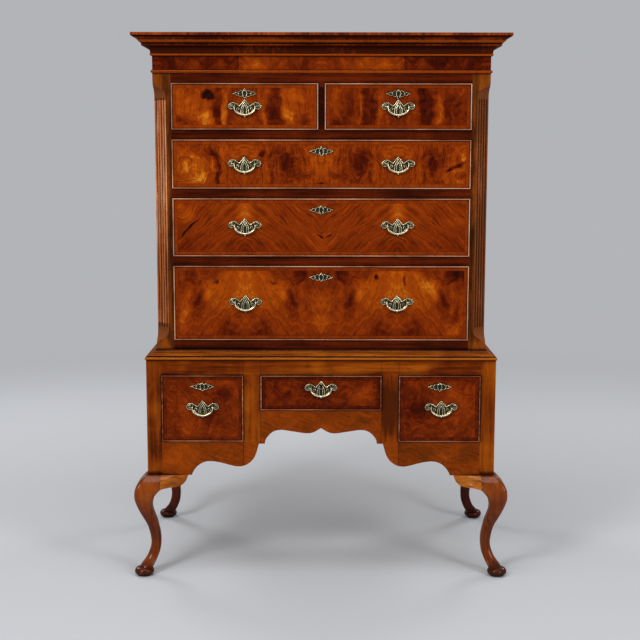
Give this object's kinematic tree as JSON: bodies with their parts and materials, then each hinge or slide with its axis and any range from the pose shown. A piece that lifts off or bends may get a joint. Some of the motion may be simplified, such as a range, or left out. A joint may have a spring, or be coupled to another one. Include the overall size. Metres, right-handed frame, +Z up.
{
  "type": "chest on stand",
  "caption": "Walnut chest of drawers with a stepped cornice and canted fluted corners, on a stand with a shaped apron, cabriole legs and pad feet.",
  "frame": {"origin": "on the floor, under the middle of the stand", "axes": "+Z up, the drawer fronts face -Y, +X to the right of someone facing the front"},
  "size_m": [1.082, 0.63, 1.546],
  "materials": {
    "walnut": "waxed and french polished, aged red-brown",
    "light_walnut": "polished honey-brown walnut veneer",
    "figured_walnut": "polished burr and figured walnut veneer with cross-grained edges",
    "oak": "dry unpolished secondary wood",
    "brass": "cast, aged pale brass",
    "iron": "dark worn iron"
  },
  "bodies": {
    "carcase": {"chest_sides": "walnut", "chest_corner_posts": "walnut", "chest_top_and_dust_boards": "oak", "chest_drawer_rails": "walnut", "drawer_runners_and_guides": "oak", "back_boards": "oak", "cornice": "walnut", "frieze": "figured_walnut", "waist_moulding": "walnut", "stand_side_boards": "walnut", "stand_frame": "light_walnut", "stand_apron": "light_walnut", "leg_front_left": "walnut", "leg_front_right": "walnut", "leg_back_left": "walnut", "leg_back_right": "walnut", "knee_brackets": "light_walnut"},
    "short_left_drawer": {"short_left_drawer_front": "figured_walnut", "short_left_drawer_box": "oak", "short_left_drawer_brasses": "brass"},
    "short_left_drawer_bolt": {"short_left_drawer_lock_bolt": "iron"},
    "short_left_drawer_bail_loop": {"short_left_drawer_bail": "brass"},
    "short_right_drawer": {"short_right_drawer_front": "figured_walnut", "short_right_drawer_box": "oak", "short_right_drawer_brasses": "brass"},
    "short_right_drawer_bolt": {"short_right_drawer_lock_bolt": "iron"},
    "short_right_drawer_bail_loop": {"short_right_drawer_bail": "brass"},
    "upper_long_drawer": {"upper_long_drawer_front": "figured_walnut", "upper_long_drawer_box": "oak", "upper_long_drawer_brasses": "brass"},
    "upper_long_drawer_bolt": {"upper_long_drawer_lock_bolt": "iron"},
    "upper_long_drawer_left_bail_loop": {"upper_long_drawer_left_bail": "brass"},
    "upper_long_drawer_right_bail_loop": {"upper_long_drawer_right_bail": "brass"},
    "middle_long_drawer": {"middle_long_drawer_front": "figured_walnut", "middle_long_drawer_box": "oak", "middle_long_drawer_brasses": "brass"},
    "middle_long_drawer_bolt": {"middle_long_drawer_lock_bolt": "iron"},
    "middle_long_drawer_left_bail_loop": {"middle_long_drawer_left_bail": "brass"},
    "middle_long_drawer_right_bail_loop": {"middle_long_drawer_right_bail": "brass"},
    "lower_long_drawer": {"lower_long_drawer_front": "figured_walnut", "lower_long_drawer_box": "oak", "lower_long_drawer_brasses": "brass"},
    "lower_long_drawer_bolt": {"lower_long_drawer_lock_bolt": "iron"},
    "lower_long_drawer_left_bail_loop": {"lower_long_drawer_left_bail": "brass"},
    "lower_long_drawer_right_bail_loop": {"lower_long_drawer_right_bail": "brass"},
    "stand_left_drawer": {"stand_left_drawer_front": "figured_walnut", "stand_left_drawer_box": "oak", "stand_left_drawer_brasses": "brass"},
    "stand_left_drawer_bolt": {"stand_left_drawer_lock_bolt": "iron"},
    "stand_left_drawer_bail_loop": {"stand_left_drawer_bail": "brass"},
    "stand_centre_drawer": {"stand_centre_drawer_front": "figured_walnut", "stand_centre_drawer_box": "oak", "stand_centre_drawer_brasses": "brass"},
    "stand_centre_drawer_bolt": {"stand_centre_drawer_lock_bolt": "iron"},
    "stand_centre_drawer_bail_loop": {"stand_centre_drawer_bail": "brass"},
    "stand_right_drawer": {"stand_right_drawer_front": "figured_walnut", "stand_right_drawer_box": "oak", "stand_right_drawer_brasses": "brass"},
    "stand_right_drawer_bolt": {"stand_right_drawer_lock_bolt": "iron"},
    "stand_right_drawer_bail_loop": {"stand_right_drawer_bail": "brass"}
  },
  "joints": [
    {"name": "short_left_drawer_slide", "type": "slide", "parent": "carcase", "child": "short_left_drawer", "axis": [0, -1, 0], "range_m": [0, 0.38]},
    {"name": "short_left_drawer_bolt_slide", "type": "slide", "parent": "short_left_drawer", "child": "short_left_drawer_bolt", "axis": [0, 0, 1], "range_m": [0, 0.008]},
    {"name": "short_left_drawer_bail_hinge", "type": "hinge", "parent": "short_left_drawer", "child": "short_left_drawer_bail_loop", "pos_m": [-0.215, -0.255, 1.347], "axis": [-1, 0, 0], "range_deg": [0, 100]},
    {"name": "short_right_drawer_slide", "type": "slide", "parent": "carcase", "child": "short_right_drawer", "axis": [0, -1, 0], "range_m": [0, 0.38]},
    {"name": "short_right_drawer_bolt_slide", "type": "slide", "parent": "short_right_drawer", "child": "short_right_drawer_bolt", "axis": [0, 0, 1], "range_m": [0, 0.008]},
    {"name": "short_right_drawer_bail_hinge", "type": "hinge", "parent": "short_right_drawer", "child": "short_right_drawer_bail_loop", "pos_m": [0.215, -0.255, 1.347], "axis": [-1, 0, 0], "range_deg": [0, 100]},
    {"name": "upper_long_drawer_slide", "type": "slide", "parent": "carcase", "child": "upper_long_drawer", "axis": [0, -1, 0], "range_m": [0, 0.38]},
    {"name": "upper_long_drawer_bolt_slide", "type": "slide", "parent": "upper_long_drawer", "child": "upper_long_drawer_bolt", "axis": [0, 0, 1], "range_m": [0, 0.008]},
    {"name": "upper_long_drawer_left_bail_hinge", "type": "hinge", "parent": "upper_long_drawer", "child": "upper_long_drawer_left_bail_loop", "pos_m": [-0.2165, -0.255, 1.18825], "axis": [-1, 0, 0], "range_deg": [0, 100]},
    {"name": "upper_long_drawer_right_bail_hinge", "type": "hinge", "parent": "upper_long_drawer", "child": "upper_long_drawer_right_bail_loop", "pos_m": [0.2165, -0.255, 1.18825], "axis": [-1, 0, 0], "range_deg": [0, 100]},
    {"name": "middle_long_drawer_slide", "type": "slide", "parent": "carcase", "child": "middle_long_drawer", "axis": [0, -1, 0], "range_m": [0, 0.38]},
    {"name": "middle_long_drawer_bolt_slide", "type": "slide", "parent": "middle_long_drawer", "child": "middle_long_drawer_bolt", "axis": [0, 0, 1], "range_m": [0, 0.008]},
    {"name": "middle_long_drawer_left_bail_hinge", "type": "hinge", "parent": "middle_long_drawer", "child": "middle_long_drawer_left_bail_loop", "pos_m": [-0.2165, -0.255, 1.01475], "axis": [-1, 0, 0], "range_deg": [0, 100]},
    {"name": "middle_long_drawer_right_bail_hinge", "type": "hinge", "parent": "middle_long_drawer", "child": "middle_long_drawer_right_bail_loop", "pos_m": [0.2165, -0.255, 1.01475], "axis": [-1, 0, 0], "range_deg": [0, 100]},
    {"name": "lower_long_drawer_slide", "type": "slide", "parent": "carcase", "child": "lower_long_drawer", "axis": [0, -1, 0], "range_m": [0, 0.38]},
    {"name": "lower_long_drawer_bolt_slide", "type": "slide", "parent": "lower_long_drawer", "child": "lower_long_drawer_bolt", "axis": [0, 0, 1], "range_m": [0, 0.008]},
    {"name": "lower_long_drawer_left_bail_hinge", "type": "hinge", "parent": "lower_long_drawer", "child": "lower_long_drawer_left_bail_loop", "pos_m": [-0.2165, -0.255, 0.796], "axis": [-1, 0, 0], "range_deg": [0, 100]},
    {"name": "lower_long_drawer_right_bail_hinge", "type": "hinge", "parent": "lower_long_drawer", "child": "lower_long_drawer_right_bail_loop", "pos_m": [0.2165, -0.255, 0.796], "axis": [-1, 0, 0], "range_deg": [0, 100]},
    {"name": "stand_left_drawer_slide", "type": "slide", "parent": "carcase", "child": "stand_left_drawer", "axis": [0, -1, 0], "range_m": [0, 0.38]},
    {"name": "stand_left_drawer_bolt_slide", "type": "slide", "parent": "stand_left_drawer", "child": "stand_left_drawer_bolt", "axis": [0, 0, 1], "range_m": [0, 0.008]},
    {"name": "stand_left_drawer_bail_hinge", "type": "hinge", "parent": "stand_left_drawer", "child": "stand_left_drawer_bail_loop", "pos_m": [-0.34, -0.283, 0.49525], "axis": [-1, 0, 0], "range_deg": [0, 100]},
    {"name": "stand_centre_drawer_slide", "type": "slide", "parent": "carcase", "child": "stand_centre_drawer", "axis": [0, -1, 0], "range_m": [0, 0.38]},
    {"name": "stand_centre_drawer_bolt_slide", "type": "slide", "parent": "stand_centre_drawer", "child": "stand_centre_drawer_bolt", "axis": [0, 0, 1], "range_m": [0, 0.008]},
    {"name": "stand_centre_drawer_bail_hinge", "type": "hinge", "parent": "stand_centre_drawer", "child": "stand_centre_drawer_bail_loop", "pos_m": [0, -0.283, 0.55175], "axis": [-1, 0, 0], "range_deg": [0, 100]},
    {"name": "stand_right_drawer_slide", "type": "slide", "parent": "carcase", "child": "stand_right_drawer", "axis": [0, -1, 0], "range_m": [0, 0.38]},
    {"name": "stand_right_drawer_bolt_slide", "type": "slide", "parent": "stand_right_drawer", "child": "stand_right_drawer_bolt", "axis": [0, 0, 1], "range_m": [0, 0.008]},
    {"name": "stand_right_drawer_bail_hinge", "type": "hinge", "parent": "stand_right_drawer", "child": "stand_right_drawer_bail_loop", "pos_m": [0.345, -0.283, 0.49525], "axis": [-1, 0, 0], "range_deg": [0, 100]}
  ]
}
